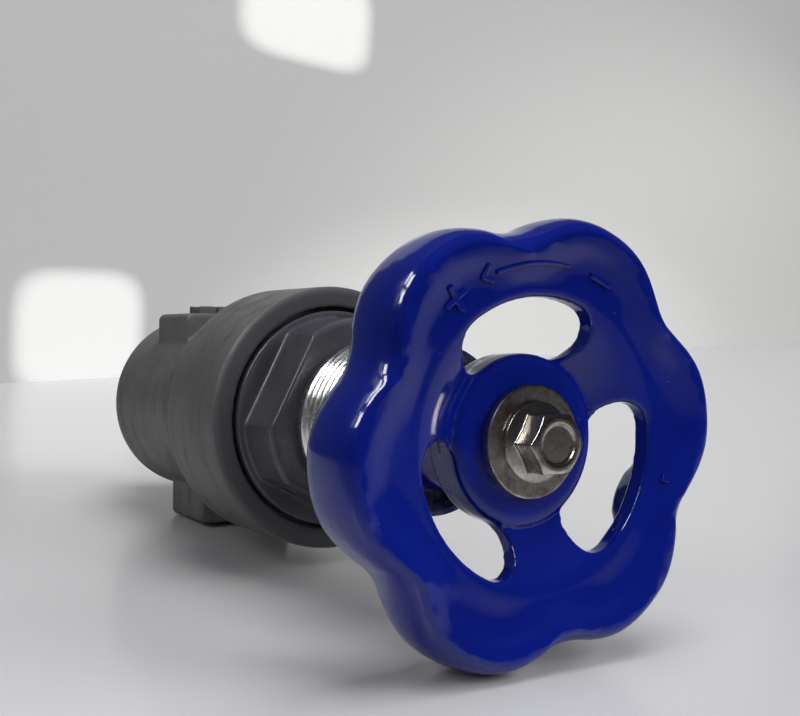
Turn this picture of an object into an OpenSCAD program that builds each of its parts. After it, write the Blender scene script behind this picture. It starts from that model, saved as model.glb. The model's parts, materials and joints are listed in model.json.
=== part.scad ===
// Angle globe valve with weld ends, a screwed bonnet, a threaded neck and a six-lobed handwheel.
// It lies on its side: the stem runs along -Y towards the handwheel, the outlet points along +X,
// and the origin is the centre of the inlet face. Each piece is drawn upright, its stem along +Z.

/* [Ports] */
// Outside diameter of both weld ends
port_od = 33.7; // [30:0.1:38]
// Bore of both weld ends
port_bore = 27.3; // [26:0.1:29]
// Distance from the crossing of the two axes to each weld face
center_to_face = 55; // [50:1:65]
// Flat land at the tip of each weld bevel
bevel_land = 1.6; // [0.8:0.1:2.2]
// Angle of each weld bevel from the face
bevel_angle = 37.5; // [25:0.5:45]

/* [Body] */
// Outside diameter of the chamber
chamber_d = 56; // [54:0.5:58]
// Bore of the chamber
chamber_bore = 44; // [42:0.5:46]
// Distance from the axis crossing to the rounded end of the chamber
chamber_foot = 35; // [31:0.5:37]
// Radius of the rounded end of the chamber
chamber_round = 8; // [5:0.5:8]
// Radius of the fillet between the inlet and the chamber
foot_fillet = 2.5; // [1:0.5:3]
// Outside diameter of the body head
head_d = 68; // [66:0.5:76]
// Distance from the axis crossing to the back of the head
head_start = 32; // [28:0.5:36]
// Length of the head
head_len = 34.3; // [32:0.1:40]
// Radius of the rounded back edge of the head
head_round = 4.5; // [2:0.5:5]
// Chamfer round the face of the head
head_chamfer = 1.2; // [0.4:0.1:1.8]
// Diameter of the recess that takes the bonnet's flange
recess_d = 59.6; // [58.6:0.1:62]
// Depth of that recess
recess_depth = 4; // [3:0.1:6]
// Diameter of the collar where the outlet leaves the chamber
collar_d = 42; // [38:0.5:44]
// Distance from the stem axis to the end of the outlet collar
collar_reach = 31; // [29:0.5:36]
// Width of the cast pad on the upper side
pad_w = 40; // [34:1:44]
// Length of the cast pad and of the foot, along the stem
pad_len = 24; // [18:1:30]
// Height of the pad's face over the stem axis
pad_height = 28.6; // [28.4:0.1:32]
// Width of the cast foot on the lower side
foot_w = 30; // [24:1:36]
// Distance from the stem axis to the foot's sole
foot_height = 35; // [34.2:0.1:38]
// Corner radius of the pad and the foot
pad_round = 2; // [1:0.5:3]

/* [Seat and disc] */
// Bore through the seat
seat_bore = 25; // [24:0.5:26]
// Outside diameter of the seat ring
seat_od = 34; // [33:0.5:35]
// Length of the seat ring
seat_len = 8; // [6:0.5:10]
// Height of the seat ring over the chamber floor
seat_proud = 3; // [2:0.5:4]
// Step between the edge of the outlet bore and the seat face
seat_step = 1.35; // [1:0.05:3]
// Width of the relief groove under the seat ring
relief_w = 2.5; // [2:0.5:4]
// Depth of that groove
relief_depth = 0.6; // [0.4:0.1:1]
// Mean diameter of the raised sealing lip
lip_d = 27.6; // [27:0.2:28]
// Width of the sealing lip
lip_w = 1.8; // [1:0.1:2]
// Height of the sealing lip
lip_h = 1.2; // [0.6:0.1:1.6]
// Gap between the seal and the lip with the valve shut
seat_gap = 0.1; // [0.05:0.05:0.3]
// Outside diameter of the disc
disc_d = 34; // [33:0.5:38]
// Thickness of the disc's plate over the seal
disc_plate = 5.5; // [4:0.5:8]
// Outside diameter of the seal
seal_od = 31; // [30.2:0.2:31.6]
// Inside diameter of the seal
seal_id = 19; // [18:0.5:20]
// Thickness of the seal
seal_t = 3.5; // [2.5:0.5:5]
// Height that the seal stands out of the disc
seal_proud = 1; // [0.5:0.1:1.5]
// Diameter of the plate that holds the seal
retainer_d = 23; // [22:0.5:24]
// Thickness of that plate
retainer_t = 2; // [1.5:0.5:3]
// Diameter of the stud under the disc
stud_d = 8; // [6:1:10]
// Width of the nut under the disc, across its flats
disc_nut_af = 13; // [13:1:17]
// Height of that nut
disc_nut_h = 6.5; // [5:0.5:8]
// Diameter of the boss on the disc's back
boss_d = 26; // [25:0.5:28]
// Diameter of the socket that takes the stem's end
socket_d = 18; // [17:0.5:19]
// Thickness of the thrust pad in the socket
thrust_t = 1.5; // [1:0.5:3]
// Length of the disc cap's thread
cap_thread = 5.7; // [4:0.1:8]
// Width of the disc cap's hexagon, across its flats
cap_af = 24; // [21:1:27]
// Height of that hexagon
cap_h = 5; // [4:0.5:7]

/* [Stem] */
// Diameter of the stem through the packing
stem_d = 14; // [12:0.5:15]
// Diameter of the stem's thread
stem_thread_d = 16; // [16:0.5:18]
// Travel of the stem from shut to open
lift = 8; // [6:0.5:9]
// Diameter of the stem's lower end
tip_d = 12; // [11:0.5:13]
// Height of the tip under the split ring's groove
tip_h = 2.5; // [2:0.1:4]
// Diameter at the bottom of that groove
groove_d = 8; // [7:0.5:9]
// Outside diameter of the split ring
split_d = 17; // [15:0.5:17.4]
// Thickness of the split ring
split_t = 2; // [1.5:0.1:3]
// Distance from the disc cap to the taper of the stem
taper_room = 2; // [1:0.5:4]
// Diameter of the back-seat collar
back_collar_d = 22; // [20:0.5:24]
// Height of the back-seat collar
back_collar_h = 4; // [3:0.5:6]
// Width of the square at the stem's upper end, across its flats
square_af = 11; // [10:0.2:11.4]
// Distance from the stem's end to the handwheel's face
stem_short = 1.5; // [0.5:0.5:3]

/* [Bonnet] */
// Width of the ledge that carries the bonnet gasket
ledge_w = 6; // [5:0.25:6.5]
// Length of that thread in the body
bonnet_thread = 19.3; // [16:0.1:22]
// Thickness of the bonnet gasket
gasket_t = 2; // [1:0.5:3]
// Length of the bonnet's nose under the gasket
nose_len = 8; // [6:0.5:10]
// Gap round the bonnet's flange
flange_gap = 1.1; // [0.5:0.1:1.5]
// Height of the bonnet's flange over the head's face
flange_proud = 0.5; // [0.2:0.1:1.5]
// Diameter of the bonnet's wrench boss
wrench_d = 53.4; // [52:0.2:55]
// Width across the four flats of that boss
wrench_af = 46.6; // [44:0.2:50]
// Height of the wrench boss over the head's face
wrench_h = 15.4; // [14:0.1:17]
// Chamfer round the wrench boss's top
wrench_chamfer = 0.8; // [0.3:0.1:1.2]
// Diameter of the stem bush
bush_d = 24; // [22:0.5:26]
// Length of the bush in the bonnet
bush_len = 16; // [12:0.5:18]
// Diameter of the bush's flange
bush_flange_d = 30; // [28:0.5:34]
// Thickness of the bush's flange
bush_flange_t = 3; // [2:0.5:4]
// Outside diameter of the back-seat ring
back_ring_d = 25; // [24:0.5:26]
// Thickness of the back-seat ring
back_ring_t = 1.8; // [1.2:0.2:2.4]

/* [Neck and gland] */
// Diameter of the neck's outside thread
neck_d = 42; // [40:0.5:44]
// Length of the neck over its gasket
neck_len = 31.3; // [28.3:0.5:38.3]
// Diameter of the relief under the neck's thread
relief_d = 39; // [37:0.5:39.5]
// Length of that relief
relief_len = 1; // [0.5:0.5:3]
// Chamfer at the neck's mouth
neck_chamfer = 0.8; // [0.4:0.1:1.2]
// Diameter of the neck's spigot in the bonnet
spigot_d = 34; // [32:0.5:35]
// Length of that spigot
spigot_len = 24.7; // [21.7:0.5:25.7]
// Thickness of the neck gasket
neck_gasket_t = 1; // [0.5:0.5:2]
// Thickness of the lip under the packing
packing_lip = 3; // [2:0.5:4]
// Bore for the packing
packing_bore = 24; // [22:0.5:25]
// Height of one packing ring
packing_h = 4.5; // [3.5:0.5:4.5]
// Thickness of the ring under the packing
packing_base_h = 4; // [3:0.5:5]
// Length of the packing follower
follower_h = 6; // [5:0.5:8]
// Diameter of the gland nut's thread
gland_thread_d = 30; // [28:0.5:31]
// Length of that thread
gland_thread = 12.5; // [10:0.5:13]
// Bore of the neck's mouth
mouth_d = 38; // [37:0.5:38.5]
// Depth of the neck's mouth
mouth_depth = 14; // [12:0.5:15]
// Width of the gland nut's hexagon, across its flats
gland_af = 30; // [27:1:32]
// Height of that hexagon
gland_hex_h = 9.5; // [7:0.5:11]
// Outside diameter of the wiper ring
wiper_d = 20; // [19:0.5:22]
// Height of the wiper ring
wiper_h = 3.8; // [3:0.2:4.6]
// Distance that the wiper stands out of the gland nut
wiper_proud = 0.8; // [0.4:0.2:1.2]
// Width of the wiper's lip
wiper_lip = 1; // [0.6:0.2:1.6]
// Chamfer round the gland nut's hexagon
gland_chamfer = 0.4; // [0.2:0.1:0.8]

/* [Handwheel] */
// Mean radius of the handwheel's outline
wheel_r = 46.7; // [44:0.1:56]
// Height of each lobe over that mean radius
lobe = 2.7; // [1.5:0.1:4]
// Flattening of the lobes' crowns, which narrows the valleys between them
lobe_flat = 0.5; // [0:0.1:0.6]
// Turn of the handwheel on its stem, to the middle of a lobe
wheel_turn = 7.8; // [0:0.1:60]
// Width of the rim
rim_w = 10; // [8:0.5:12]
// Distance from the rim's edge to its crest
rim_crest = 5; // [3:0.5:6]
// Fullness of the rim's section: 2 is an ellipse, more is squarer
rim_fullness = 2.4; // [2:0.1:3]
// Depth of the rim along the stem
rim_depth = 19.6; // [17:0.2:22]
// Distance of the rim's middle behind the front of the washer
rim_back = 4; // [2.5:0.1:5]
// Depth of the rim's foot under the web's faces
foot_bury = 0.2; // [0.1:0.05:0.3]
// Thickness of the web
web_t = 4.5; // [3:0.5:6]
// Distance of the web's front before the hub's face
web_front = 5.5; // [4:0.5:6]
// Radius where the web starts to dish towards the hub
dish_r = 33; // [26:0.5:33]
// Depth of the spokes at the hub, behind the hub's face
dish_depth = 3; // [1:0.5:5]
// Outer radius of the three windows
window_r = 30; // [28:0.5:33]
// Angle taken by each window
window_angle = 81; // [60:1:90]
// Corner radius of the windows
window_round = 5.4; // [2:0.2:5.4]
// Diameter of the hub's front boss
hub_d = 36.4; // [34:0.2:40]
// Thickness of the hub's front boss
hub_boss = 9.5; // [8:0.5:12]
// Diameter of the hub's barrel
barrel_d = 28; // [24:0.5:32]
// Length of the hub
hub_len = 29.5; // [26:0.5:36]
// Distance from the neck's mouth to the hub, with the valve shut
hub_gap = 4; // [1:0.5:8]
// Depth of the round entry of the hub's bore
hub_entry = 3; // [1:0.5:6]
// Rounded edge of the hub's front boss
hub_round = 1.5; // [0.5:0.5:3]

/* [Wheel fastening] */
// Diameter of the washer
washer_d = 24; // [22:0.5:28]
// Thickness of the washer
washer_t = 2.5; // [1.5:0.5:3]
// Diameter of the bolt's thread
bolt_d = 8; // [6:1:8]
// Length of the bolt under its head
bolt_len = 22; // [16:1:24]
// Diameter of the bolt's flange
bolt_flange_d = 17; // [15:0.5:19]
// Thickness of the bolt's flange at its edge
bolt_flange_t = 1.2; // [0.8:0.1:2]
// Width of the bolt's head, across its flats
bolt_af = 12; // [10:1:13]
// Height of the bolt's head over the washer
bolt_head_h = 7.9; // [6:0.1:9]
// Diameter of the dish in the bolt's head
bolt_dish_d = 8.6; // [7:0.2:9]
// Depth of that dish
bolt_dish = 0.6; // [0.2:0.1:1]
// Chamfer round the bolt's hexagon
bolt_chamfer = 0.4; // [0.1:0.1:0.6]

/* [Fits] */
// Radial clearance of the turning and sliding fits
run_gap = 0.05; // [0.02:0.01:0.1]
// Radial clearance of pieces that stay together
hold_gap = 0.05; // [0.02:0.01:0.1]
// Radial clearance where the stem or the bolt passes freely
clear_gap = 0.5; // [0.3:0.1:0.8]
// Play of the split ring under the disc cap
end_play = 0.3; // [0.2:0.1:0.5]
// Gap between one packing ring and the next, and between the split ring's halves
ring_gap = 0.2; // [0.1:0.05:0.4]

/* [Hidden] */
$fn = 64;

// Smallest overlap that makes a cut pass its surface
past = 1;
// Small chamfer on turned pieces
edge_chamfer = 0.5;
// Angle of a nut's turned corners from its face
nut_angle = 30;
packing_count = 4;
lobe_count = 6;
window_count = 3;
nose_steps = 12;
dish_steps = 8;
flats_turn = 63;
gland_turn = 14;

// Thread of the bonnet in the head
bonnet_thread_d = chamber_bore + 2 * ledge_w;

// Heights over the inlet face, from the seat up to the bolt
head_z = center_to_face + head_start;
ring_z = head_z + head_len;
seat_z = center_to_face - port_bore / 2 - seat_step;
floor_z = seat_z - seat_proud;
foot_z = center_to_face - chamber_foot;
ledge_z = ring_z - recess_depth - bonnet_thread;
shoulder_z = ledge_z + gasket_t;
nose_z = shoulder_z - nose_len;
flange_z = ring_z + flange_proud;
bonnet_z = ring_z + wrench_h;
bush_z = nose_z + bush_len;
back_z = nose_z - bush_flange_t - back_ring_t / 2;
neck_z = bonnet_z + neck_gasket_t;
spigot_z = bonnet_z - spigot_len;
mouth_z = neck_z + neck_len;
packing_z = spigot_z + packing_lip;
rings_z = packing_z + packing_base_h;
follower_z = rings_z + packing_count * packing_h;
gland_z = follower_z + follower_h;
gland_hex_z = gland_z + gland_thread;
gland_top_z = gland_hex_z + gland_hex_h;
hub_z = mouth_z + hub_gap;
face_z = hub_z + hub_len;
washer_z = face_z + washer_t;
web_z = face_z + web_front;

// Radius where the dished spokes end, inside the hub
dish_in = (hub_d + barrel_d) / 4;

// Heights of the disc and stem with the valve shut
seal_z = seat_z + seat_gap;
plate_z = seal_z + seal_t;
disc_top_z = plate_z + disc_plate;
socket_z = disc_top_z - thrust_t;
tip_z = socket_z + thrust_t;
groove_z = tip_z + tip_h;
cap_z = groove_z + split_t + end_play;
boss_z = cap_z + cap_thread;
collar_top_z = back_z - lift - seat_gap;
thread_top_z = packing_z - lift - clear_gap;
stem_end_z = face_z - stem_short;

// Points of an arc about [x, y], from one angle to another
function arc(x, y, r, from, to, steps, first = 0) = [for (i = [first:steps])
    let (a = from + (to - from) * i / steps) [x + r * cos(a), y + r * sin(a)]];

// Lays an upright piece down, so that its stem axis points along -Y
module lay() {
    rotate([90, 0, 0]) children();
}

// A round bar or hole between two heights
module round_bar(d, z0, z1) {
    translate([0, 0, z0]) cylinder(d = d, h = z1 - z0);
}

// A ring between two heights
module ring(od, id, z0, z1) {
    difference() {
        round_bar(od, z0, z1);
        round_bar(id, z0 - past, z1 + past);
    }
}

// A bar with equal flats between two heights
module flat_bar(af, sides, z0, z1) {
    translate([0, 0, z0]) cylinder(d = af / cos(180 / sides), h = z1 - z0, $fn = sides);
}

// The same bar with its top corners turned to a cone
module nut_form(af, sides, z0, z1, chamfer) {
    corner = af / 2 / cos(180 / sides) + past;
    face = af / 2 - chamfer;
    intersection() {
        flat_bar(af, sides, z0, z1);
        rotate_extrude() polygon([
            [0, z0 - past],
            [corner, z0 - past],
            [corner, z1 - (corner - face) * tan(nut_angle)],
            [face, z1],
            [0, z1]
        ]);
    }
}

// The stem's square, with its corners cut by the stem's own diameter
module square_bar(af, d, z0, z1) {
    intersection() {
        round_bar(d, z0, z1);
        translate([-af / 2, -af / 2, z0 - past]) cube([af, af, z1 - z0 + 2 * past]);
    }
}

// Length of a weld bevel along its port
function bevel_height() = (port_od / 2 - port_bore / 2 - bevel_land) * tan(bevel_angle);

module body_outside() {
    r_port = port_od / 2;
    r_chamber = chamber_d / 2;
    r_head = head_d / 2;
    fillet = min(foot_fillet, r_chamber - chamber_round - r_port);
    rotate_extrude() polygon(concat(
        [[0, 0], [port_bore / 2 + bevel_land, 0], [r_port, bevel_height()]],
        arc(r_port + fillet, foot_z - fillet, fillet, 180, 90, 5),
        arc(r_chamber - chamber_round, foot_z + chamber_round, chamber_round, -90, 0, 8),
        [[r_chamber, head_z]],
        arc(r_head - head_round, head_z + head_round, head_round, -90, 0, 8),
        [[r_head, ring_z - head_chamfer], [r_head - head_chamfer, ring_z], [0, ring_z]]
    ));
}

module outlet_outside() {
    r_port = port_od / 2;
    r_collar = collar_d / 2;
    step = r_collar - r_port;
    translate([0, 0, center_to_face]) rotate([0, 90, 0]) rotate_extrude() polygon(concat(
        [[0, 0], [r_collar, 0]],
        arc(r_collar - step / 2, collar_reach - step / 2, step / 2, 0, 90, 5),
        arc(r_port + step / 2, collar_reach + step / 2, step / 2, 270, 180, 5),
        [[r_port, center_to_face - bevel_height()], [port_bore / 2 + bevel_land, center_to_face]],
        [[0, center_to_face]]
    ));
}

// A block with rounded corners that stands out from the stem axis along one side
module cast_block(w, reach) {
    translate([0, 0, center_to_face - pad_len / 2]) linear_extrude(pad_len) union() {
        translate([-w / 2, 0]) square([w, reach - pad_round]);
        translate([-w / 2 + pad_round, 0]) square([w - 2 * pad_round, reach]);
        for (side = [-1, 1]) translate([side * (w / 2 - pad_round), reach - pad_round]) circle(r = pad_round);
    }
}

module valve_body() {
    color("dimgray") lay() difference() {
        union() {
            body_outside();
            outlet_outside();
            cast_block(pad_w, pad_height);
            rotate([0, 0, 180]) cast_block(foot_w, foot_height);
        }
        round_bar(port_bore, -past, seat_z - seat_len + past);
        round_bar(port_bore + 2 * relief_depth, seat_z - seat_len - relief_w, seat_z - seat_len + past);
        round_bar(seat_od, seat_z - seat_len, floor_z + past);
        round_bar(chamber_bore, floor_z, ledge_z + past);
        round_bar(bonnet_thread_d, ledge_z, ring_z);
        round_bar(recess_d, ring_z - recess_depth, ring_z + past);
        translate([0, 0, center_to_face]) rotate([0, 90, 0]) round_bar(port_bore, 0, center_to_face + past);
    }
}

module seat_ring() {
    color("silver") lay() rotate_extrude() polygon([
        [seat_bore / 2, seat_z - seat_len],
        [seat_od / 2, seat_z - seat_len],
        [seat_od / 2, seat_z - lip_h],
        [lip_d / 2 + lip_w / 2, seat_z - lip_h],
        [lip_d / 2 + lip_w / 2, seat_z],
        [lip_d / 2 - lip_w / 2, seat_z],
        [seat_bore / 2, seat_z - lip_h]
    ]);
}

module bonnet_gasket() {
    color("gray") lay() ring(bonnet_thread_d - 2 * hold_gap, chamber_bore, ledge_z, shoulder_z);
}

// The bonnet's round boss with four wrench flats
module wrench_boss() {
    r = wrench_d / 2;
    intersection() {
        rotate_extrude() polygon([
            [0, ring_z],
            [r, ring_z],
            [r, bonnet_z - wrench_chamfer],
            [r - wrench_chamfer, bonnet_z],
            [0, bonnet_z]
        ]);
        rotate([0, 0, flats_turn]) translate([-wrench_af / 2, -wrench_af / 2, ring_z - past])
            cube([wrench_af, wrench_af, wrench_h + 2 * past]);
    }
}

module bonnet() {
    color("darkslategray") lay() difference() {
        union() {
            round_bar(chamber_bore - 4 * hold_gap, nose_z, shoulder_z + past);
            round_bar(bonnet_thread_d - 2 * hold_gap, shoulder_z, ring_z);
            round_bar(recess_d - 2 * flange_gap, ring_z - recess_depth + flange_proud, flange_z);
            wrench_boss();
        }
        round_bar(bush_d, nose_z - past, bush_z);
        round_bar(stem_thread_d + 2 * clear_gap, bush_z - past, spigot_z + past);
        round_bar(spigot_d, spigot_z, bonnet_z + past);
    }
}

module stem_bush() {
    color("peru") lay() difference() {
        union() {
            round_bar(bush_flange_d, nose_z - bush_flange_t, nose_z);
            round_bar(bush_d - 2 * hold_gap, nose_z, bush_z);
        }
        round_bar(stem_thread_d + 2 * run_gap, nose_z - bush_flange_t - past, bush_z + past);
        round_bar(back_ring_d, nose_z - bush_flange_t - past, back_z + back_ring_t);
    }
}

module back_seat_ring() {
    color("ivory") lay()
        ring(back_ring_d - 2 * hold_gap, stem_thread_d + 2 * clear_gap, back_z, back_z + back_ring_t);
}

module neck_gasket() {
    color("black") lay() ring(relief_d, spigot_d, bonnet_z, neck_z);
}

module neck_sleeve() {
    r = neck_d / 2;
    color("silver") lay() difference() {
        union() {
            round_bar(spigot_d - 2 * hold_gap, spigot_z, neck_z + past);
            round_bar(relief_d, neck_z, neck_z + relief_len + past);
            rotate_extrude() polygon([
                [0, neck_z + relief_len],
                [r - neck_chamfer, neck_z + relief_len],
                [r, neck_z + relief_len + neck_chamfer],
                [r, mouth_z - neck_chamfer],
                [r - neck_chamfer, mouth_z],
                [0, mouth_z]
            ]);
        }
        round_bar(stem_thread_d + 2 * clear_gap, spigot_z - past, packing_z + past);
        round_bar(packing_bore, packing_z, gland_z + past);
        round_bar(gland_thread_d, gland_z - packing_lip, mouth_z - mouth_depth + past);
        round_bar(mouth_d, mouth_z - mouth_depth, mouth_z + past);
    }
}

module packing_base_ring() {
    color("silver") lay() ring(packing_bore - 2 * hold_gap, stem_d + 2 * run_gap, packing_z, rings_z);
}

module packing_rings() {
    color("ivory") lay() for (i = [0:packing_count - 1])
        let (z = rings_z + i * packing_h)
            ring(packing_bore - 2 * hold_gap, stem_d + 2 * run_gap, z, z + packing_h - ring_gap);
}

module packing_follower() {
    color("silver") lay() ring(packing_bore - 2 * hold_gap, stem_d + 2 * run_gap, follower_z, gland_z);
}

module gland_nut() {
    color("silver") lay() difference() {
        union() {
            round_bar(gland_thread_d - 2 * hold_gap, gland_z, gland_hex_z + past);
            rotate([0, 0, gland_turn]) nut_form(gland_af, 6, gland_hex_z, gland_top_z, gland_chamfer);
        }
        round_bar(stem_d + 2 * run_gap, gland_z - past, gland_top_z + past);
        round_bar(wiper_d, gland_top_z - wiper_h + wiper_proud, gland_top_z + past);
    }
}

module stem_wiper() {
    z0 = gland_top_z - wiper_h + wiper_proud;
    z1 = gland_top_z + wiper_proud;
    color("black") lay() rotate_extrude() polygon([
        [stem_d / 2 + run_gap, z0],
        [wiper_d / 2 - hold_gap, z0],
        [wiper_d / 2 - hold_gap, gland_top_z],
        [stem_d / 2 + wiper_lip, z1],
        [stem_d / 2 + run_gap, z1]
    ]);
}

module disc() {
    color("lightgray") lay() difference() {
        union() {
            round_bar(disc_d, seal_z + seal_proud, disc_top_z);
            round_bar(boss_d, disc_top_z - past, boss_z);
        }
        ring(seal_od + 2 * hold_gap, seal_id - 2 * hold_gap, seal_z - past, plate_z);
        round_bar(socket_d, socket_z, boss_z + past);
    }
    color("lightgray") lay() round_bar(seal_id - 4 * hold_gap, seal_z, plate_z);
    color("lightgray") lay() round_bar(stud_d, seal_z - retainer_t - disc_nut_h - past, plate_z);
}

module disc_seal() {
    color("ivory") lay() ring(seal_od, seal_id, seal_z, plate_z);
}

module seal_retainer() {
    color("silver") lay() ring(retainer_d, stud_d + 2 * hold_gap, seal_z - retainer_t, seal_z);
}

module disc_nut() {
    nut_z = seal_z - retainer_t;
    color("silver") lay() difference() {
        flat_bar(disc_nut_af, 6, nut_z - disc_nut_h, nut_z);
        round_bar(stud_d + 2 * hold_gap, nut_z - disc_nut_h - past, nut_z + past);
    }
}

module thrust_pad() {
    color("goldenrod") lay() round_bar(socket_d - 4 * hold_gap, socket_z, tip_z);
}

module disc_cap() {
    color("silver") lay() difference() {
        union() {
            round_bar(socket_d - 2 * hold_gap, cap_z, boss_z + past);
            flat_bar(cap_af, 6, boss_z, boss_z + cap_h);
        }
        round_bar(tip_d + 2 * run_gap, cap_z - past, boss_z + cap_h + past);
    }
}

module stem() {
    r_tip = tip_d / 2;
    r_thread = stem_thread_d / 2;
    r_stem = stem_d / 2;
    r_collar = back_collar_d / 2;
    taper_z = boss_z + cap_h + taper_room;
    groove_top = groove_z + split_t + 2 * hold_gap;
    color("lightgray") lay() difference() {
        union() {
            rotate_extrude() polygon([
                [0, tip_z + seat_gap],
                [r_tip - edge_chamfer, tip_z + seat_gap],
                [r_tip, tip_z + seat_gap + edge_chamfer],
                [r_tip, groove_z],
                [groove_d / 2, groove_z],
                [groove_d / 2, groove_top],
                [r_tip, groove_top],
                [r_tip, taper_z],
                [r_thread, taper_z + r_thread - r_tip],
                [r_thread, collar_top_z - back_collar_h - edge_chamfer],
                [r_collar, collar_top_z - back_collar_h],
                [r_collar, collar_top_z - edge_chamfer],
                [r_collar - edge_chamfer, collar_top_z],
                [r_thread, collar_top_z],
                [r_thread, thread_top_z - r_thread + r_stem],
                [r_stem, thread_top_z],
                [r_stem, hub_z + hub_entry],
                [0, hub_z + hub_entry]
            ]);
            square_bar(square_af, stem_d, hub_z + hub_entry - past, stem_end_z);
        }
        round_bar(bolt_d + 2 * hold_gap, washer_z - bolt_len - bolt_d, stem_end_z + past);
    }
}

module split_ring() {
    color("silver") lay() difference() {
        ring(split_d, groove_d + 2 * hold_gap, groove_z, groove_z + split_t);
        translate([-split_d, -ring_gap / 2, groove_z - past])
            cube([2 * split_d, ring_gap, split_t + 2 * past]);
    }
}

// Radius of the handwheel's outline at an angle
function wheel_edge(a) = let (t = lobe_count * (a - wheel_turn))
    wheel_r + lobe * cos(t) - lobe_flat * cos(2 * t);

// Smooth step from 0 to 1
function ease(t) = t * t * (3 - 2 * t);

// Points of a smooth slope from one [radius, height] point to another, without the last
function slope(p, q, steps) =
    [for (i = [0:steps - 1]) let (t = i / steps)
        [p[0] + (q[0] - p[0]) * t, p[1] + (q[1] - p[1]) * ease(t)]];

// A sine or cosine drawn out by the rim's fullness
function full(t) = sign(t) * pow(abs(t), 2 / rim_fullness);

// One closed section of the rim at an angle, as [radius, height] points
function rim_section(a) = let (
    edge = wheel_edge(a),
    crest = edge - rim_crest,
    foot = edge - rim_w,
    rim_z = washer_z - rim_back,
    half = rim_depth / 2,
    front = [foot, web_z - foot_bury],
    back = [foot, web_z - web_t + foot_bury]
) concat(
    slope(front, [crest, rim_z + half], 6),
    [for (i = [0:nose_steps]) let (t = 90 - 180 * i / nose_steps)
        [crest + rim_crest * full(cos(t)), rim_z + half * full(sin(t))]],
    slope([crest, rim_z - half], back, 6),
    [back]
);

// The rim as one skin swept round the stem through a changing section
module rim_skin(steps) {
    sections = [for (k = [0:steps - 1]) rim_section(k * 360 / steps)];
    count = len(sections[0]);
    points = [for (k = [0:steps - 1]) for (p = sections[k])
        [p[0] * cos(k * 360 / steps), p[0] * sin(k * 360 / steps), p[1]]];
    faces = [for (k = [0:steps - 1]) for (i = [0:count - 1]) let (
        a = k * count + i,
        b = k * count + (i + 1) % count,
        c = (k + 1) % steps * count + (i + 1) % count,
        d = (k + 1) % steps * count + i
    ) each [[a, c, b], [a, d, c]]];
    polyhedron(points, faces, convexity = 6);
}

// Height of the web's front over the inlet face at a radius: flat outside, dished towards the hub
function web_height(r) =
    web_z - (web_front + dish_depth) * (1 - sin(90 * min(1, (r - dish_in) / (dish_r - dish_in))));

// Web and dished spokes before the windows are cut; its edge lies inside the rim
module web_disc() {
    outer = wheel_r + lobe - rim_w + foot_bury;
    radii = concat([for (i = [0:dish_steps]) dish_in + (dish_r - dish_in) * i / dish_steps], [outer]);
    rotate_extrude() polygon(concat(
        [for (r = radii) [r, web_height(r)]],
        [for (i = [len(radii) - 1:-1:0]) [radii[i], web_height(radii[i]) - web_t]]
    ));
}

// One kidney window with round ends, centred on +X; its inner side runs along the hub's boss
module window_shape() {
    c = window_round;
    half = window_angle / 2;
    r_in = hub_d / 2 + foot_bury + c;
    r_out = window_r - c;
    turn_in = half - asin(c / r_in);
    turn_out = half - asin(c / r_out);
    polygon(concat(
        arc(0, 0, window_r, -turn_out, turn_out, 16, 1),
        arc(r_out * cos(turn_out), r_out * sin(turn_out), c, turn_out, half + 90, 7, 1),
        arc(r_in * cos(turn_in), r_in * sin(turn_in), c, half + 90, turn_in + 180, 7),
        arc(0, 0, r_in - c, turn_in, -turn_in, 10, 1),
        arc(r_in * cos(turn_in), -r_in * sin(turn_in), c, 180 - turn_in, 270 - half, 7, 1),
        arc(r_out * cos(turn_out), -r_out * sin(turn_out), c, 270 - half, 360 - turn_out, 7)
    ));
}

module wheel_hub() {
    r_boss = hub_d / 2;
    r_barrel = barrel_d / 2;
    rotate_extrude() polygon(concat(
        [[0, hub_z], [r_barrel - edge_chamfer, hub_z], [r_barrel, hub_z + edge_chamfer]],
        [[r_barrel, face_z - hub_boss - r_boss + r_barrel]],
        [[r_boss, face_z - hub_boss]],
        arc(r_boss - hub_round, face_z - hub_round, hub_round, 0, 90, 4),
        [[0, face_z]]
    ));
}

module handwheel() {
    color("navy") lay() difference() {
        union() {
            rim_skin(120);
            difference() {
                web_disc();
                for (k = [1:window_count]) rotate([0, 0, wheel_turn + 90 + k * 360 / window_count])
                    translate([0, 0, face_z - rim_depth]) linear_extrude(2 * rim_depth) window_shape();
            }
            wheel_hub();
        }
        round_bar(stem_d + 2 * hold_gap, hub_z - past, hub_z + hub_entry);
        square_bar(square_af + 2 * hold_gap, stem_d + 2 * hold_gap, hub_z + hub_entry - past, face_z + past);
    }
}

module handwheel_washer() {
    color("silver") lay() ring(washer_d, bolt_d + 2 * clear_gap, face_z, washer_z);
}

module handwheel_bolt() {
    flange = bolt_flange_d / 2;
    top = washer_z + bolt_head_h;
    color("silver") lay() union() {
        round_bar(bolt_d, washer_z - bolt_len, washer_z + past);
        rotate_extrude() polygon([
            [0, washer_z],
            [flange, washer_z],
            [flange, washer_z + bolt_flange_t],
            [bolt_af / 2, washer_z + 2 * bolt_flange_t],
            [0, washer_z + 2 * bolt_flange_t]
        ]);
        difference() {
            nut_form(bolt_af, 6, washer_z, top, bolt_chamfer);
            round_bar(bolt_dish_d, top - bolt_dish, top + past);
        }
    }
}

valve_body();
seat_ring();
bonnet_gasket();
bonnet();
stem_bush();
back_seat_ring();
neck_gasket();
neck_sleeve();
packing_base_ring();
packing_rings();
packing_follower();
gland_nut();
stem_wiper();
disc();
disc_seal();
seal_retainer();
disc_nut();
thrust_pad();
disc_cap();
stem();
split_ring();
handwheel();
handwheel_washer();
handwheel_bolt();
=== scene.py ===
import json
import math

import bpy
import numpy as np
from mathutils import Matrix, Vector

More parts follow.
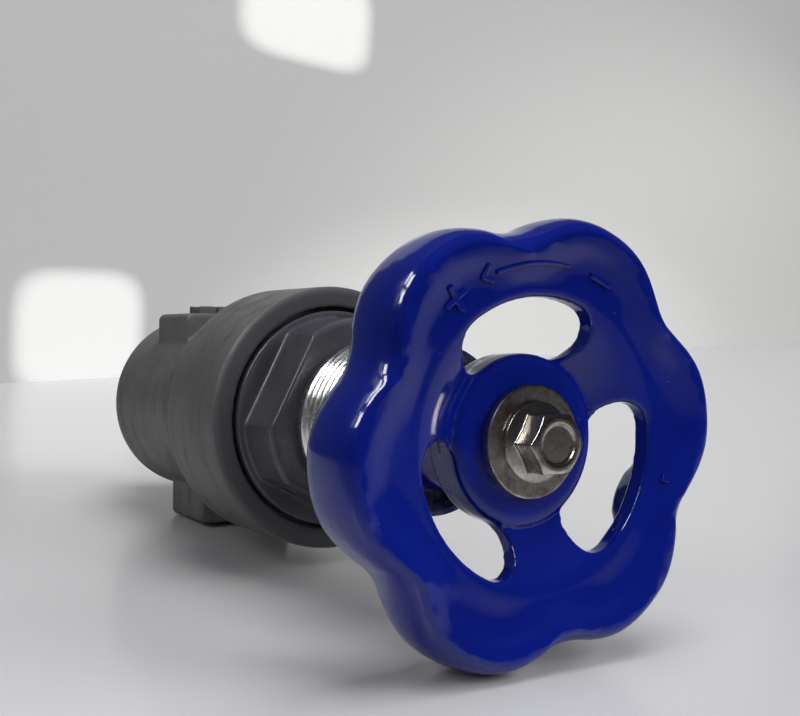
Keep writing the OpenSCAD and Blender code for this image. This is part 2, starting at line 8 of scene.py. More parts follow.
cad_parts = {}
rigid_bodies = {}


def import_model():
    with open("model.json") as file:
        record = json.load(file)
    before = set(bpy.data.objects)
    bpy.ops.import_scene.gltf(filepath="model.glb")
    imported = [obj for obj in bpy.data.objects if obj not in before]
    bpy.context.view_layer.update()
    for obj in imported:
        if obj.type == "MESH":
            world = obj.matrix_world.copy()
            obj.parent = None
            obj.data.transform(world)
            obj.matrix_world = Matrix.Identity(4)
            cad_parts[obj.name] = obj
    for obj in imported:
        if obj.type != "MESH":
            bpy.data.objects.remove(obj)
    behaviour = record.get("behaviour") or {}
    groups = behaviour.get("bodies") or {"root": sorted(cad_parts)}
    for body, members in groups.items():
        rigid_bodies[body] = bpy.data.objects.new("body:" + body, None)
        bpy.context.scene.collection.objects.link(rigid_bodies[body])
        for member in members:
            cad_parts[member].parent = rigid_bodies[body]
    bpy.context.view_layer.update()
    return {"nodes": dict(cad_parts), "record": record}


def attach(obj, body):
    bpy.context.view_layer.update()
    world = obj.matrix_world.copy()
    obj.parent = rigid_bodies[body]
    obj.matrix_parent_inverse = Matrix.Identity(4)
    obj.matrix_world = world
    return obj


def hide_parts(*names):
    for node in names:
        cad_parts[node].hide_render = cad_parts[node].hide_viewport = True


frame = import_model()
nodes = frame["nodes"]
mm = 0.001  # the frame is in metres
print("frame loaded:", len(nodes), "nodes")


def clearSelection():
    if bpy.context.object and bpy.context.object.mode != "OBJECT":
        bpy.ops.object.mode_set(mode="OBJECT")
    bpy.ops.object.select_all(action="DESELECT")


def makeActive(piece):
    clearSelection()
    piece.select_set(True)
    bpy.context.view_layer.objects.active = piece


def applyModifier(piece, kind, **settings):
    makeActive(piece)
    bpy.ops.object.modifier_add(type=kind)
    modifier = piece.modifiers[-1]
    for name, value in settings.items():
        setattr(modifier, name, value)
    bpy.ops.object.modifier_apply(modifier=modifier.name)


def placeInMesh(piece):
    makeActive(piece)  # the object goes to the origin and its place into the mesh
    bpy.ops.object.transform_apply(location=True, rotation=True, scale=True)


def mergeDoubles(piece, distanceMm):
    makeActive(piece)
    bpy.ops.object.mode_set(mode="EDIT")
    bpy.ops.mesh.select_all(action="SELECT")
    bpy.ops.mesh.remove_doubles(threshold=distanceMm * mm)
    bpy.ops.object.mode_set(mode="OBJECT")


def copyOfNode(nodeName, pieceName):
    # the solid's mesh as one closed skin of its own; the node itself is left alone
    shell = {"mergeMm": 0.002}
    piece = bpy.data.objects.new(pieceName, nodes[nodeName].data.copy())
    bpy.context.scene.collection.objects.link(piece)
    makeActive(piece)
    if piece.data.has_custom_normals:
        bpy.ops.mesh.customdata_custom_splitnormals_clear()
    mergeDoubles(piece, shell["mergeMm"])
    piece.data.materials.clear()
    return piece


def softenEdges(piece, voxelMm, rounds):
    # a fine even skin whose edges are then eased, as casting, paint and plating leave them
    applyModifier(piece, "REMESH", mode="VOXEL", voxel_size=voxelMm * mm)
    applyModifier(piece, "SMOOTH", factor=0.5, iterations=rounds)
    makeActive(piece)
    bpy.ops.object.shade_smooth()


def selectVertices(piece, chosen):
    # selects by one true or false per vertex, and leaves the piece in edit mode
    makeActive(piece)
    bpy.ops.object.mode_set(mode="EDIT")
    bpy.ops.mesh.select_mode(type="VERT")
    bpy.ops.mesh.select_all(action="DESELECT")
    bpy.ops.object.mode_set(mode="OBJECT")
    piece.data.vertices.foreach_set("select", chosen)
    bpy.ops.object.mode_set(mode="EDIT")


def vertexRows(mesh, name):
    # a property of every vertex, such as its place, as rows of three
    values = np.empty(len(mesh.vertices) * 3)
    mesh.vertices.foreach_get(name, values)
    return values.reshape(-1, 3)


def hollowDepths(mesh):
    # how far in millimetres each vertex lies below the mean of its neighbours, along its normal
    points = vertexRows(mesh, "co") / mm
    ends = np.empty(len(mesh.edges) * 2, dtype=int)
    mesh.edges.foreach_get("vertices", ends)
    ends = ends.reshape(-1, 2)
    total = np.zeros(points.shape)
    number = np.zeros(len(points))
    for here, there in ((0, 1), (1, 0)):
        np.add.at(total, ends[:, here], points[ends[:, there]])
        np.add.at(number, ends[:, here], 1)
    return np.einsum("ij,ij->i", total / number[:, None] - points, vertexRows(mesh, "normal"))


def easeHollows(piece, blend):
    # hollow corners outside the radius blend["fromMm"] become a wide soft blend, as in a sand casting
    points = vertexRows(piece.data, "co") / mm
    outside = np.hypot(points[:, 0], points[:, 2]) > blend["fromMm"]
    hollow = hollowDepths(piece.data) > blend["depthMm"]
    selectVertices(piece, hollow & outside)
    for _ in range(blend["grow"]):
        bpy.ops.mesh.select_more()
    bpy.ops.object.mode_set(mode="OBJECT")
    grown = np.empty(len(points), dtype=bool)
    piece.data.vertices.foreach_get("select", grown)
    selectVertices(piece, grown & outside)
    bpy.ops.mesh.vertices_smooth(factor=0.5, repeat=blend["rounds"])
    bpy.ops.object.mode_set(mode="OBJECT")


def finishPiece(piece, body, slotName, *replaced):
    makeActive(piece)
    piece.data.materials.clear()
    piece.data.materials.append(finishes[slotName])
    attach(piece, body)
    if replaced:
        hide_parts(*replaced)
    print("piece done:", piece.name, len(piece.data.polygons), "faces")


def linear(hexColour):
    # from an sRGB hex colour to linear light, by the standard's curve
    channels = [int(hexColour[i:i + 2], 16) / 255 for i in (1, 3, 5)]
    return [c / 12.92 if c <= 0.04045 else ((c + 0.055) / 1.055) ** 2.4 for c in channels] + [1.0]


def addNode(tree, kind, settings=None, inputs=None, links=None):
    # settings are the node's own values, inputs its sockets' values, links what feeds them
    # a source, here and below, is a pair of a node and the name or number of its output
    node = tree.nodes.new(kind)
    for name, value in (settings or {}).items():
        setattr(node, name, value)
    for name, value in (inputs or {}).items():
        node.inputs[name].default_value = value
    for name, (source, output) in (links or {}).items():
        tree.links.new(source.outputs[output], node.inputs[name])
    return node


def feed(tree, value, socket):
    # value is a hex colour or a source
    if isinstance(value, str):
        socket.default_value = linear(value)
    else:
        source, output = value
        tree.links.new(source.outputs[output], socket)


def startMaterial(name, **shaderInputs):
    material = bpy.data.materials.new(name)
    material.use_nodes = True
    tree = material.node_tree
    shader = tree.nodes["Principled BSDF"]
    for socket, value in shaderInputs.items():
        shader.inputs[socket].default_value = value
    place = (addNode(tree, "ShaderNodeTexCoord"), "Object")
    return material, tree, shader, place


def noiseAt(tree, place, sizeMm, detail, rough=0.5, stretch=(1, 1, 1)):
    # noise whose blobs are about sizeMm across; an axis whose stretch is under 1 draws them out
    mapping = addNode(tree, "ShaderNodeMapping", inputs={"Scale": stretch}, links={"Vector": place})
    values = {"Scale": 1 / (sizeMm * mm), "Detail": detail, "Roughness": rough}
    return addNode(tree, "ShaderNodeTexNoise", inputs=values, links={"Vector": (mapping, "Vector")}), "Fac"


def rampOf(tree, source, low, high):
    # low and high are pairs of a level of the source and the result there; the ramp joins them
    ramp = addNode(tree, "ShaderNodeValToRGB", links={"Fac": source})
    for element, (level, result) in zip(ramp.color_ramp.elements, (low, high)):
        element.position = level
        element.color = (result, result, result, 1.0)
    return ramp, "Color"


def bumpOf(tree, shader, source, heightMm, before=None):
    # raises the surface by a source; before is a bump that this one adds to
    links = {"Height": source, "Normal": before} if before else {"Height": source}
    bump = addNode(tree, "ShaderNodeBump", inputs={"Strength": 1.0, "Distance": heightMm * mm}, links=links)
    feed(tree, (bump, "Normal"), shader.inputs["Normal"])
    return bump, "Normal"


def mixColour(tree, factor, a, b):
    # a and b are hex colours or sources; the mix node's colour sockets are known by number only
    socketA, socketB, result = 6, 7, 2
    mix = addNode(tree, "ShaderNodeMix", settings={"data_type": "RGBA"}, links={"Factor": factor})
    feed(tree, a, mix.inputs[socketA])
    feed(tree, b, mix.inputs[socketB])
    return mix, result


def bodyPaint():
    # satin grey paint sprayed on cast steel: dull sheen, faint streaks from handling, a slightly grainy skin
    look = {
        "base": "#545454", "pale": "#5f5f5f", "cloudMm": 14.0, "clouds": ((0.35, 0.0), (0.7, 1.0)),
        "streak": "#434343", "streakMm": 5.0, "drawnOut": (1.0, 1.0, 0.22),
        "scuffs": ((0.56, 0.0), (0.72, 0.75)), "rough": ((0.3, 0.42), (0.7, 0.6)),
        # painted shade: this colour and its limits along Y darken the head's turned face
        "face": "#46464a", "faceFromMm": -120.3, "faceToMm": -120.6,
        "waveMm": 6.0, "waveHighMm": 0.12, "grainMm": 0.7, "grainHighMm": 0.02,
    }
    material, tree, shader, place = startMaterial("satinPaintOnCastSteel", IOR=1.45)
    clouds = noiseAt(tree, place, look["cloudMm"], detail=4.0)
    streaks = noiseAt(tree, place, look["streakMm"], detail=5.0, rough=0.6, stretch=look["drawnOut"])
    tone = mixColour(tree, rampOf(tree, clouds, *look["clouds"]), look["base"], look["pale"])
    cast = mixColour(tree, rampOf(tree, streaks, *look["scuffs"]), tone, look["streak"])
    parts = addNode(tree, "ShaderNodeSeparateXYZ", links={"Vector": place})
    limits = {"From Min": look["faceFromMm"] * mm, "From Max": look["faceToMm"] * mm}
    front = addNode(tree, "ShaderNodeMapRange", inputs=limits, links={"Value": (parts, "Y")})
    colour = mixColour(tree, (front, "Result"), cast, look["face"])  # painted shade: the head's turned face, which looks towards the dim front, is painted darker
    feed(tree, colour, shader.inputs["Base Color"])
    feed(tree, rampOf(tree, streaks, *look["rough"]), shader.inputs["Roughness"])
    wave = bumpOf(tree, shader, noiseAt(tree, place, look["waveMm"], detail=2.0), look["waveHighMm"])
    bumpOf(tree, shader, noiseAt(tree, place, look["grainMm"], detail=2.0), look["grainHighMm"], wave)
    return material


def bonnetPaint():
    # semi-gloss dark grey paint over turned steel: smoother than the casting, with a very fine orange peel
    look = {
        "base": "#404046", "worn": "#4b4b52", "cloudMm": 12.0, "clouds": ((0.4, 0.0), (0.75, 1.0)),
        "rough": ((0.3, 0.22), (0.75, 0.36)), "peelMm": 0.9, "peelHighMm": 0.012,
    }
    material, tree, shader, place = startMaterial("semiGlossPaintOnTurnedSteel", IOR=1.5)
    clouds = noiseAt(tree, place, look["cloudMm"], detail=2.0)
    colour = mixColour(tree, rampOf(tree, clouds, *look["clouds"]), look["base"], look["worn"])
    feed(tree, colour, shader.inputs["Base Color"])
    feed(tree, rampOf(tree, clouds, *look["rough"]), shader.inputs["Roughness"])
    bumpOf(tree, shader, noiseAt(tree, place, look["peelMm"], detail=1.5), look["peelHighMm"])
    return material


def wheelEnamel():
    # stoved gloss enamel on an aluminium casting: deep blue, wet gloss, a faint orange peel, a few pinholes
    look = {
        "deep": "#081771", "rich": "#091b7e", "cloudMm": 20.0, "clouds": ((0.35, 0.0), (0.7, 1.0)),
        "peelMm": 5.0, "peelHighMm": 0.03,
        "pitsApartMm": 9.0, "pits": ((0.0, 0.0), (0.045, 1.0)), "pitDeepMm": 0.08,
    }
    material, tree, shader, place = startMaterial("stovedGlossEnamel", Roughness=0.09, IOR=1.5)
    clouds = noiseAt(tree, place, look["cloudMm"], detail=2.0)
    colour = mixColour(tree, rampOf(tree, clouds, *look["clouds"]), look["deep"], look["rich"])
    feed(tree, colour, shader.inputs["Base Color"])
    peel = bumpOf(tree, shader, noiseAt(tree, place, look["peelMm"], detail=1.0), look["peelHighMm"])
    spread = {"Scale": 1 / (look["pitsApartMm"] * mm)}
    cells = addNode(tree, "ShaderNodeTexVoronoi", inputs=spread, links={"Vector": place})
    bumpOf(tree, shader, rampOf(tree, (cells, "Distance"), *look["pits"]), look["pitDeepMm"], peel)
    return material


def turnedSteel(name, base, roughness, lineMm):
    # bright stainless steel off the lathe: mirror-like, with fine rings round the stem and some duller spots
    look = {"spotMm": 4.0, "clean": 0.8, "dull": 1.7, "rings": (0.05, 1.0, 0.05), "ringHighMm": 0.006}
    material, tree, shader, place = startMaterial(name, Metallic=1.0)
    feed(tree, base, shader.inputs["Base Color"])
    spots = noiseAt(tree, place, look["spotMm"], detail=4.0, rough=0.6)
    rough = rampOf(tree, spots, low=(0.35, roughness * look["clean"]), high=(0.7, roughness * look["dull"]))
    feed(tree, rough, shader.inputs["Roughness"])
    rings = noiseAt(tree, place, lineMm, detail=3.0, rough=0.6, stretch=look["rings"])
    bumpOf(tree, shader, rings, look["ringHighMm"])
    return material


def platedSteel(name, base, darkReflection, roughness, spotMm):
    # nickel-plated steel: bright, with darker blotches painted in as mottled dark reflections, and a soft
    # grain
    look = {
        "reflectionBlotches": ((0.38, 0.0), (0.66, 1.0)), "clean": 0.7, "dull": 1.8,
        "grainMm": 0.5, "grainHighMm": 0.008,
    }
    material, tree, shader, place = startMaterial(name, Metallic=1.0)
    spots = noiseAt(tree, place, spotMm, detail=5.0, rough=0.65)
    # painted reflection: the darker colour in the blotches stands for dark surroundings mirrored in the plate
    colour = mixColour(tree, rampOf(tree, spots, *look["reflectionBlotches"]), base, darkReflection)
    feed(tree, colour, shader.inputs["Base Color"])
    rough = rampOf(tree, spots, low=(0.3, roughness * look["clean"]), high=(0.7, roughness * look["dull"]))
    feed(tree, rough, shader.inputs["Roughness"])
    bumpOf(tree, shader, noiseAt(tree, place, look["grainMm"], detail=2.0), look["grainHighMm"])
    return material


def plainMaterial(name, base, shade, roughness, grainMm, metallic=0.0):
    # a moulded, pressed or machined piece inside the valve: one colour with a fine grain of its own
    look = {"grain": ((0.35, 0.0), (0.7, 1.0)), "grainHighMm": 0.01}
    material, tree, shader, place = startMaterial(name, Metallic=metallic, Roughness=roughness)
    grain = noiseAt(tree, place, grainMm, detail=3.0)
    feed(tree, mixColour(tree, rampOf(tree, grain, *look["grain"]), base, shade), shader.inputs["Base Color"])
    bumpOf(tree, shader, grain, look["grainHighMm"])
    return material


finishes = {
    "body_paint": bodyPaint(),
    "bonnet_paint": bonnetPaint(),
    "wheel_enamel": wheelEnamel(),
    "neck_steel": turnedSteel("turnedStainlessSteel", "#e6e6e2", 0.2, 0.35),
    "gland_steel": turnedSteel("polishedStainlessSteel", "#c9c9c5", 0.1, 0.4),
    "stem_steel": turnedSteel("groundStainlessSteel", "#c4c4c0", 0.18, 0.3),
    "seat_steel": turnedSteel("lappedStainlessSteel", "#c4c4c0", 0.22, 0.3),
    "bolt_nickel": platedSteel("brightNickelPlate", "#cac4bc", "#98918a", 0.2, 3.5),
    "washer_nickel": platedSteel("mottledNickelPlate", "#c2bbb4", "#7f7872", 0.28, 3.0),
    "bush_bronze": plainMaterial("machinedBronze", "#b98f55", "#a67c46", 0.3, 1.5, 1.0),
    "seal_plastic": plainMaterial("pressedFluoroplastic", "#e6e5df", "#dbd9d1", 0.45, 2.0),
    "gasket_grey": plainMaterial("pressedGraphite", "#3a3a3c", "#2e2e30", 0.55, 0.8),
    "wiper_rubber": plainMaterial("mouldedNitrileRubber", "#1b1b1c", "#151516", 0.6, 0.6),
}
print("materials done:", len(finishes))

for entry in frame["record"]["subparts"]:
    node = nodes[entry["node"]]
    node.data.materials.clear()
    node.data.materials.append(finishes[entry["material_slot"]])


def makeBody():
    # the casting: a copy of the solid with cast edges, whose head has a rim cast a little over size
    size = {"voxelMm": 0.55, "rounds": 3, "facesKept": 0.4}
    head = {"back": 87.5, "insideMm": 31.5, "fuller": 1.037}
    body = copyOfNode("valve_body", "castBody")
    places = [vertex.co / mm for vertex in body.data.vertices]
    selectVertices(body, [p.y < -head["back"] and math.hypot(p.x, p.z) > head["insideMm"] for p in places])
    bpy.ops.transform.resize(value=(head["fuller"], 1, head["fuller"]), center_override=(0, 0, 0))
    bpy.ops.object.mode_set(mode="OBJECT")
    softenEdges(body, size["voxelMm"], size["rounds"])
    applyModifier(body, "DECIMATE", ratio=size["facesKept"])
    finishPiece(body, "valve", "body_paint", "valve_body")
    return body


def makeNumber(body):
    # the plain number that stands on the pad
    pad = {"middle": -55, "half": 5}  # a square on the pad, where its top is read
    number = {
        "words": "25", "heightMm": 12.5, "fatterMm": 0.12, "reliefMm": 2.4, "sunkMm": 0.4,
        "middle": (-7.2, -55.5), "voxelMm": 0.3, "rounds": 5,
    }
    corners = [vertex.co for vertex in body.data.vertices]
    nearX = [co for co in corners if abs(co.x) < pad["half"] * mm]
    padTop = max(co.z for co in nearX if abs(co.y - pad["middle"] * mm) < pad["half"] * mm)
    clearSelection()
    bpy.ops.object.text_add()
    digits = bpy.context.object
    digits.name = "castNumber"
    digits.data.body = number["words"]
    digits.data.size = number["heightMm"] * mm
    digits.data.align_x = "CENTER"
    digits.data.align_y = "CENTER"
    digits.data.offset = number["fatterMm"] * mm  # a little fatter than the font, as a cast figure is
    digits.data.extrude = (number["reliefMm"] + number["sunkMm"]) / 2 * mm
    bpy.ops.object.convert(target="MESH")
    lift = padTop + (number["reliefMm"] - number["sunkMm"]) / 2 * mm
    digits.location = (number["middle"][0] * mm, number["middle"][1] * mm, lift)
    placeInMesh(digits)
    softenEdges(digits, number["voxelMm"], number["rounds"])
    finishPiece(digits, "valve", "body_paint")


makeNumber(makeBody())


def makeBonnet():
    # turned flange and boss with four milled flats
    size = {"voxelMm": 0.45, "rounds": 3}
    bonnet = copyOfNode("bonnet", "flangedBonnet")
    softenEdges(bonnet, size["voxelMm"], size["rounds"])
    finishPiece(bonnet, "valve", "bonnet_paint", "bonnet")


makeBonnet()


def threadRidge(thread):
    # one rounded ridge, screwed round the stem's axis; its foot lies in the sleeve
    half = thread["pitch"] / 2
    depth = thread["crest"] - thread["root"]
    foot = thread["root"] - thread["footMm"]
    edge = thread["root"] - thread["dipMm"]
    section = [(foot, half), (foot, -half)]
    for i in range(thread["points"]):
        wave = 2 * i / (thread["points"] - 1) - 1  # -1 and 1 at the roots, 0 on the rounded crest
        bulge = (depth + thread["dipMm"]) * math.cos(wave * math.pi / 2) ** thread["roundness"]
        section.append((edge + bulge, wave * half))
    clearSelection()
    bpy.ops.mesh.primitive_circle_add(vertices=len(section), fill_type="NGON", location=(0, 0, 0))
    ridge = bpy.context.object
    ridge.name = "threadRidge"
    for vertex, (radius, along) in zip(ridge.data.vertices, section):
        vertex.co = (radius * mm, (thread["from"] + along) * mm, 0)
    turns = int((thread["from"] - thread["to"]) / thread["pitch"])
    steps = thread["stepsPerTurn"] * turns
    rise = -thread["pitch"] * mm * turns
    applyModifier(ridge, "SCREW", axis="Y", angle=math.tau * turns, screw_offset=rise, steps=steps,
                  render_steps=steps, use_merge_vertices=False, use_smooth_shade=False)
    mergeDoubles(ridge, thread["mergeMm"])
    bpy.ops.object.mode_set(mode="EDIT")
    bpy.ops.mesh.normals_make_consistent(inside=False)
    bpy.ops.object.mode_set(mode="OBJECT")
    bpy.ops.object.shade_smooth_by_angle(angle=math.radians(thread["smoothDegrees"]))
    return ridge


def makeNeck():
    # bright neck with a right-handed thread: the sleeve is turned down to the root and carries the ridge
    thread = {
        "crest": 21.0, "root": 20.2, "pitch": 2.5, "from": -140.2, "to": -167.2, "footMm": 0.4, "dipMm": 0.1,
        "points": 9, "roundness": 1.2, "stepsPerTurn": 96, "mergeMm": 0.001, "smoothDegrees": 50,
    }
    size = {"skinMm": 0.05, "smoothDegrees": 25}
    sleeve = copyOfNode("neck_sleeve", "threadedNeck")
    outerMm = thread["crest"] - size["skinMm"]
    places = [vertex.co / mm for vertex in sleeve.data.vertices]
    selectVertices(sleeve, [math.hypot(p.x, p.z) > outerMm for p in places])
    shrink = thread["root"] / thread["crest"]
    bpy.ops.transform.resize(value=(shrink, 1, shrink), center_override=(0, thread["from"] * mm, 0))
    bpy.ops.object.mode_set(mode="OBJECT")
    bpy.ops.object.shade_smooth_by_angle(angle=math.radians(size["smoothDegrees"]))
    ridge = threadRidge(thread)
    makeActive(sleeve)
    ridge.select_set(True)
    bpy.ops.object.join()
    finishPiece(sleeve, "valve", "neck_steel", "neck_sleeve")


makeNeck()


def makeGlandNut():
    # polished hexagon, deep in the neck's mouth
    size = {"voxelMm": 0.28, "rounds": 3}
    nut = copyOfNode("gland_nut", "polishedGlandNut")
    softenEdges(nut, size["voxelMm"], size["rounds"])
    finishPiece(nut, "valve", "gland_steel", "gland_nut")


makeGlandNut()


def makeWheel():
    # gloss enamelled casting, with a soft blend where its web meets the rim
    size = {"voxelMm": 0.56, "rounds": 3, "lastRounds": 6}
    blend = {"fromMm": 33.2, "depthMm": 0.004, "grow": 8, "rounds": 144}
    casting = copyOfNode("handwheel", "sixLobeHandwheel")
    softenEdges(casting, size["voxelMm"], size["rounds"])
    easeHollows(casting, blend)
    applyModifier(casting, "SMOOTH", factor=0.5, iterations=size["lastRounds"])
    finishPiece(casting, "stem_group", "wheel_enamel", "handwheel")
    return casting


def raisedBar(radius, angle, length, width, slant):
    # a flat bar before the wheel, bent round the stem: angle goes from +X to +Z, slant turns it on its middle
    grid = {"perMm": 3, "least": 4, "across": 4, "frontMm": -225}
    clearSelection()
    columns = max(grid["least"], int(length * grid["perMm"]))
    bpy.ops.mesh.primitive_grid_add(x_subdivisions=columns, y_subdivisions=grid["across"], size=1)
    bar = bpy.context.object
    lean = math.radians(slant)
    for vertex in bar.data.vertices:
        along, across = vertex.co.x * length, vertex.co.y * width
        tangent = along * math.cos(lean) - across * math.sin(lean)
        outward = along * math.sin(lean) + across * math.cos(lean)
        turn = math.radians(angle) + tangent / radius
        reach = (radius + outward) * mm
        vertex.co = (reach * math.cos(turn), grid["frontMm"] * mm, reach * math.sin(turn))
    return bar


def makeRelief(casting):
    # an arrow with plus and minus for open and shut, and a small casting nub, raised on the wheel's front
    relief = {"heightMm": 0.6, "sunkMm": 0.3, "voxelMm": 0.2, "rounds": 4}
    bars = [  # radius, angle, length and width, and slant
        (36.9, 96.0, 19.5, 0.9, 0),  # the arrow's shaft
        (38.1, 114.6, 3.2, 1.1, -42),  # the arrow's head
        (36.4, 114.6, 3.2, 1.1, 38),
        (36.9, 128.2, 6.0, 1.3, 0),  # plus, to open
        (36.9, 128.2, 6.0, 1.3, 90),
        (36.9, 66.5, 6.0, 1.3, 0),  # minus, to shut
        (35.4, -14.8, 1.9, 1.5, 0),  # casting nub
    ]
    strokes = [raisedBar(*bar) for bar in bars]
    clearSelection()
    for stroke in strokes:
        stroke.select_set(True)
    marks = strokes[0]
    bpy.context.view_layer.objects.active = marks
    bpy.ops.object.join()
    marks.name = "wheelRelief"
    bpy.ops.object.mode_set(mode="EDIT")
    bpy.ops.mesh.select_all(action="SELECT")
    if marks.data.polygons[0].normal.y > 0:
        bpy.ops.mesh.flip_normals()
    bpy.ops.object.mode_set(mode="OBJECT")
    applyModifier(marks, "SHRINKWRAP", wrap_method="PROJECT", target=casting, use_project_y=True,
                  use_positive_direction=True)
    whole = relief["heightMm"] + relief["sunkMm"]
    applyModifier(marks, "SOLIDIFY", thickness=whole * mm, offset=1 - 2 * relief["sunkMm"] / whole)
    softenEdges(marks, relief["voxelMm"], relief["rounds"])
    finishPiece(marks, "stem_group", "wheel_enamel")


wheel = makeWheel()
makeRelief(wheel)


def makeFastening():
    # the flange bolt and the washer that hold the wheel
    bolt = {"voxelMm": 0.2, "rounds": 4}
    washer = {"voxelMm": 0.25, "rounds": 8}
    head = copyOfNode("handwheel_bolt", "flangeBolt")
    softenEdges(head, bolt["voxelMm"], bolt["rounds"])
    finishPiece(head, "stem_group", "bolt_nickel", "handwheel_bolt")
    disc = copyOfNode("handwheel_washer", "wheelWasher")
    softenEdges(disc, washer["voxelMm"], washer["rounds"])
    finishPiece(disc, "stem_group", "washer_nickel", "handwheel_washer")


makeFastening()


def wallMaterial(colour, roughness):
    # glossy board with painted light and shade in rounded layers, one over the other: painted shade past the
    # middle, painted pools of light low down and painted reflections of two windows; middles and half sizes
    # are metres in its plane
    paintedLightLayers = [  # square is 2 for an ellipse and more for squarer corners
        {"middle": (0.65, 0.1), "half": (0.7, 0.5), "square": 16.0, "tone": colour},  # painted shade: darker past it
        {"middle": (1.15, 0.0), "half": (0.8, 0.36), "square": 2.0, "tone": "#d9d9d7"},  # painted pools of light, lighter low down, here and on the next line
        {"middle": (0.62, 0.0), "half": (0.4, 0.13), "square": 2.0, "tone": "#e4e4e2"},
        {"middle": (0.057, 0.033), "half": (0.048, 0.038), "square": 4.0, "tone": "#fbfbf9"},  # painted reflection of a window
        {"middle": (0.254, 0.272), "half": (0.07, 0.036), "square": 4.0, "tone": "#fbfbf9"},  # painted reflection of a window
    ]
    fade = {"From Min": 1.7, "From Max": 0.3}
    material, tree, shader, place = startMaterial("paleWall", Roughness=roughness)
    shade = "#56565a"
    for paintedLightLayer in paintedLightLayers:
        extent = {"Location": (*paintedLightLayer["middle"], 0), "Scale": (*paintedLightLayer["half"], 1)}
        spot = addNode(tree, "ShaderNodeMapping", {"vector_type": "TEXTURE"}, extent, {"Vector": place})
        parts = addNode(tree, "ShaderNodeSeparateXYZ", links={"Vector": (spot, "Vector")})
        total = addNode(tree, "ShaderNodeMath")
        for i, axis in enumerate("XY"):
            power = addNode(tree, "ShaderNodeMath", {"operation": "POWER"}, {1: paintedLightLayer["square"]})
            feed(tree, (parts, axis), power.inputs[0])
            feed(tree, (power, 0), total.inputs[i])
        smooth = {"interpolation_type": "SMOOTHSTEP"}
        edge = addNode(tree, "ShaderNodeMapRange", smooth, fade, {"Value": (total, 0)})
        shade = mixColour(tree, (edge, "Result"), shade, paintedLightLayer["tone"])
    feed(tree, shade, shader.inputs["Base Color"])
    back = addNode(tree, "ShaderNodeNewGeometry")
    clear = addNode(tree, "ShaderNodeBsdfTransparent")
    sides = {0: (back, "Backfacing"), 1: (shader, 0), 2: (clear, 0)}
    oneSided = addNode(tree, "ShaderNodeMixShader", links=sides)  # from behind, the wall isn't there
    feed(tree, (oneSided, 0), tree.nodes["Material Output"].inputs["Surface"])
    return material


def tableMaterial(colour, roughness):
    # glossy pale board; on the near side, out of the picture, it is painted darker, as painted shade for the
    # dimmer room there
    nearShade = {"tone": "#7e7e82", "turn": math.radians(-32.8), "from": (-0.1527, -0.347), "fades": (0.12, 0.2)}
    material, tree, shader, place = startMaterial("paleTable", Roughness=roughness, IOR=1.35)
    edgeFrame = {"Location": (*nearShade["from"], 0), "Rotation": (0, 0, nearShade["turn"])}
    turned = addNode(tree, "ShaderNodeMapping", {"vector_type": "TEXTURE"}, edgeFrame, {"Vector": place})
    parts = addNode(tree, "ShaderNodeSeparateXYZ", links={"Vector": (turned, "Vector")})
    limits = {"From Min": nearShade["fades"][0], "From Max": nearShade["fades"][1]}
    edge = addNode(tree, "ShaderNodeMapRange", inputs=limits, links={"Value": (parts, "Y")})
    feed(tree, mixColour(tree, (edge, "Result"), nearShade["tone"], colour), shader.inputs["Base Color"])
    return material


def addBoard(name, material, **plane):
    clearSelection()
    bpy.ops.mesh.primitive_plane_add(**plane)
    board = bpy.context.object
    board.name = name
    board.data.materials.append(material)
    return board


def makeStage():
    # the table touches the foot's far edge, called sole, and the wheel's lowest lobe; the wall is behind
    look = {
        "table": "#bebec0", "tableRough": 0.2, "wall": "#bcbcbb", "wallRough": 0.3, "size": 12,
        "sole": (0.0, -43.0, -35.05), "wallFrom": (20, 323, -9), "wallTo": (1321, 762, 21),
    }
    sole = Vector(look["sole"]) * mm
    below = [v.co for v in wheel.data.vertices if v.co.z < sole.z]
    tilt = math.atan(max((sole.z - co.z) / (sole.y - co.y) for co in below))
    print("table tilt:", round(math.degrees(tilt), 2))
    paint = tableMaterial(look["table"], look["tableRough"])
    table = addBoard("table", paint, size=look["size"], location=sole, rotation=(tilt, 0, 0))
    wallFrom, wallTo = Vector(look["wallFrom"]), Vector(look["wallTo"])
    along = (wallTo - wallFrom).normalized()
    upright = Vector((0, -math.sin(tilt), math.cos(tilt)))
    facing = along.cross(upright).normalized()
    wall = addBoard("wall", wallMaterial(look["wall"], look["wallRough"]), size=look["size"])
    turn = Matrix((along, upright, facing)).transposed().to_4x4()
    wall.matrix_world = Matrix.Translation(wallFrom * mm) @ turn


def addArea(name, place, aim, size, watts):
    clearSelection()
    turn = (Vector(aim) - Vector(place)).to_track_quat("-Z", "Y").to_euler()
    bpy.ops.object.light_add(type="AREA", location=place, rotation=turn)
    lamp = bpy.context.object
    lamp.name = name
    lamp.data.shape = "RECTANGLE"
    lamp.data.size, lamp.data.size_y = size
    lamp.data.energy = watts
    return lamp


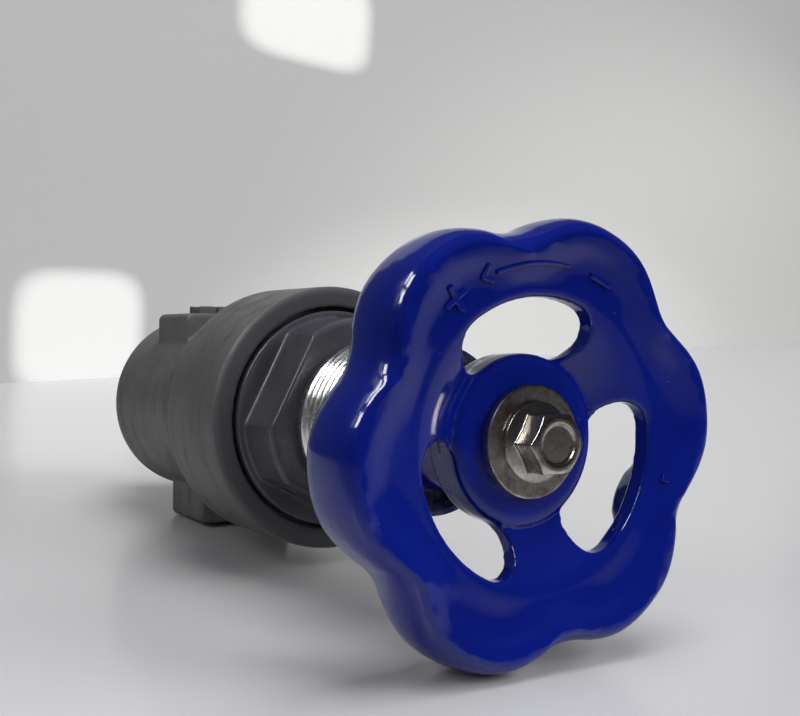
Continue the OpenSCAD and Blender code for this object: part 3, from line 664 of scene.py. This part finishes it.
def makeLamps():
    # soft lamps that gloss doesn't mirror, and a window whose panes show in gloss and metal only
    lamps = {
        "ceiling": {"place": (0.2, -0.35, 2.2), "aim": (0, -0.1, 0), "size": (1.6, 1.3), "watts": 40},
        "fill": {"place": (2.1, -2.4, 1.7), "aim": (0.6, 0.3, 0.05), "size": (2.2, 1.8), "watts": 72},
        "side": {"place": (-1.5, -0.85, 0.95), "aim": (0, -0.08, 0), "size": (1.1, 0.9), "watts": 9},
    }
    window = {
        "aim": (0, -0.204, 0), "towards": (-0.66, 0.08, 0.72), "distance": 1.6,
        "columns": 3, "rows": 2, "step": (0.42, 0.5), "pane": (0.3, 0.38), "watts": 6.5,
    }
    for name, lamp in lamps.items():
        addArea(name, **lamp).visible_glossy = False
    towards = Vector(window["towards"]).normalized()
    across = towards.cross(Vector((0, 0, 1))).normalized()
    upward = across.cross(towards)
    centre = Vector(window["aim"])
    for column in range(window["columns"]):
        for row in range(window["rows"]):
            shift = across * window["step"][0] * (column - (window["columns"] - 1) / 2)
            shift += upward * window["step"][1] * (row - (window["rows"] - 1) / 2)
            place = centre + towards * window["distance"] + shift
            pane = addArea(f"pane{column}{row}", place, centre, window["pane"], window["watts"])
            pane.visible_diffuse = False


def makeWorld():
    # an even pale room, darker where gloss and metal mirror it
    room = {"pale": "#c2c2c2", "mirrored": "#4c4d50", "strength": 0.5}
    world = bpy.data.worlds.new("studio")
    bpy.context.scene.world = world
    world.use_nodes = True
    tree = world.node_tree
    background = tree.nodes["Background"]
    kind = (addNode(tree, "ShaderNodeLightPath"), "Is Glossy Ray")
    feed(tree, mixColour(tree, kind, room["pale"], room["mirrored"]), background.inputs["Color"])
    background.inputs["Strength"].default_value = room["strength"]


def makeCard():
    # a dark sheet that stands in for the dim room in front, as painted dark reflection: only gloss and metal
    # mirror it, the camera and the plain light pass it
    card = {"place": (0.62, -1.35, 0.15), "aim": (0, -0.2, 0), "side": 1.7, "colour": "#303035", "rough": 0.9}
    darkRoomSheet, tree, shader, _ = startMaterial("paintedDarkRoom", Roughness=card["rough"])
    feed(tree, card["colour"], shader.inputs["Base Color"])
    turn = (Vector(card["aim"]) - Vector(card["place"])).to_track_quat("Z", "Y").to_euler()
    board = addBoard("blackCard", darkRoomSheet, size=card["side"], location=card["place"], rotation=turn)
    board.visible_camera = False
    board.visible_shadow = False
    board.visible_diffuse = False


def makeCamera():
    shot = {
        "place": (-152.7, -390.2, 20.5), "look": (0.5416, 0.8405, -0.0140),
        "right": (0.8407, -0.5415, 0.0090), "lens": 51.75, "sensor": 36, "nearest": 0.01, "farthest": 50,
    }
    look = Vector(shot["look"]).normalized()
    right = Vector(shot["right"])
    right = (right - look * right.dot(look)).normalized()
    up = right.cross(look)
    turn = Matrix((right, up, -look)).transposed().to_euler()
    bpy.ops.object.camera_add(location=Vector(shot["place"]) * mm, rotation=turn)
    camera = bpy.context.object
    camera.data.lens = shot["lens"]
    camera.data.sensor_width = shot["sensor"]
    camera.data.clip_start = shot["nearest"]
    camera.data.clip_end = shot["farthest"]
    bpy.context.scene.camera = camera


makeStage()
makeLamps()
makeWorld()
makeCard()
makeCamera()
bpy.context.scene.view_settings.view_transform = "Standard"
print("stage, lamps and camera done")

clearSelection()
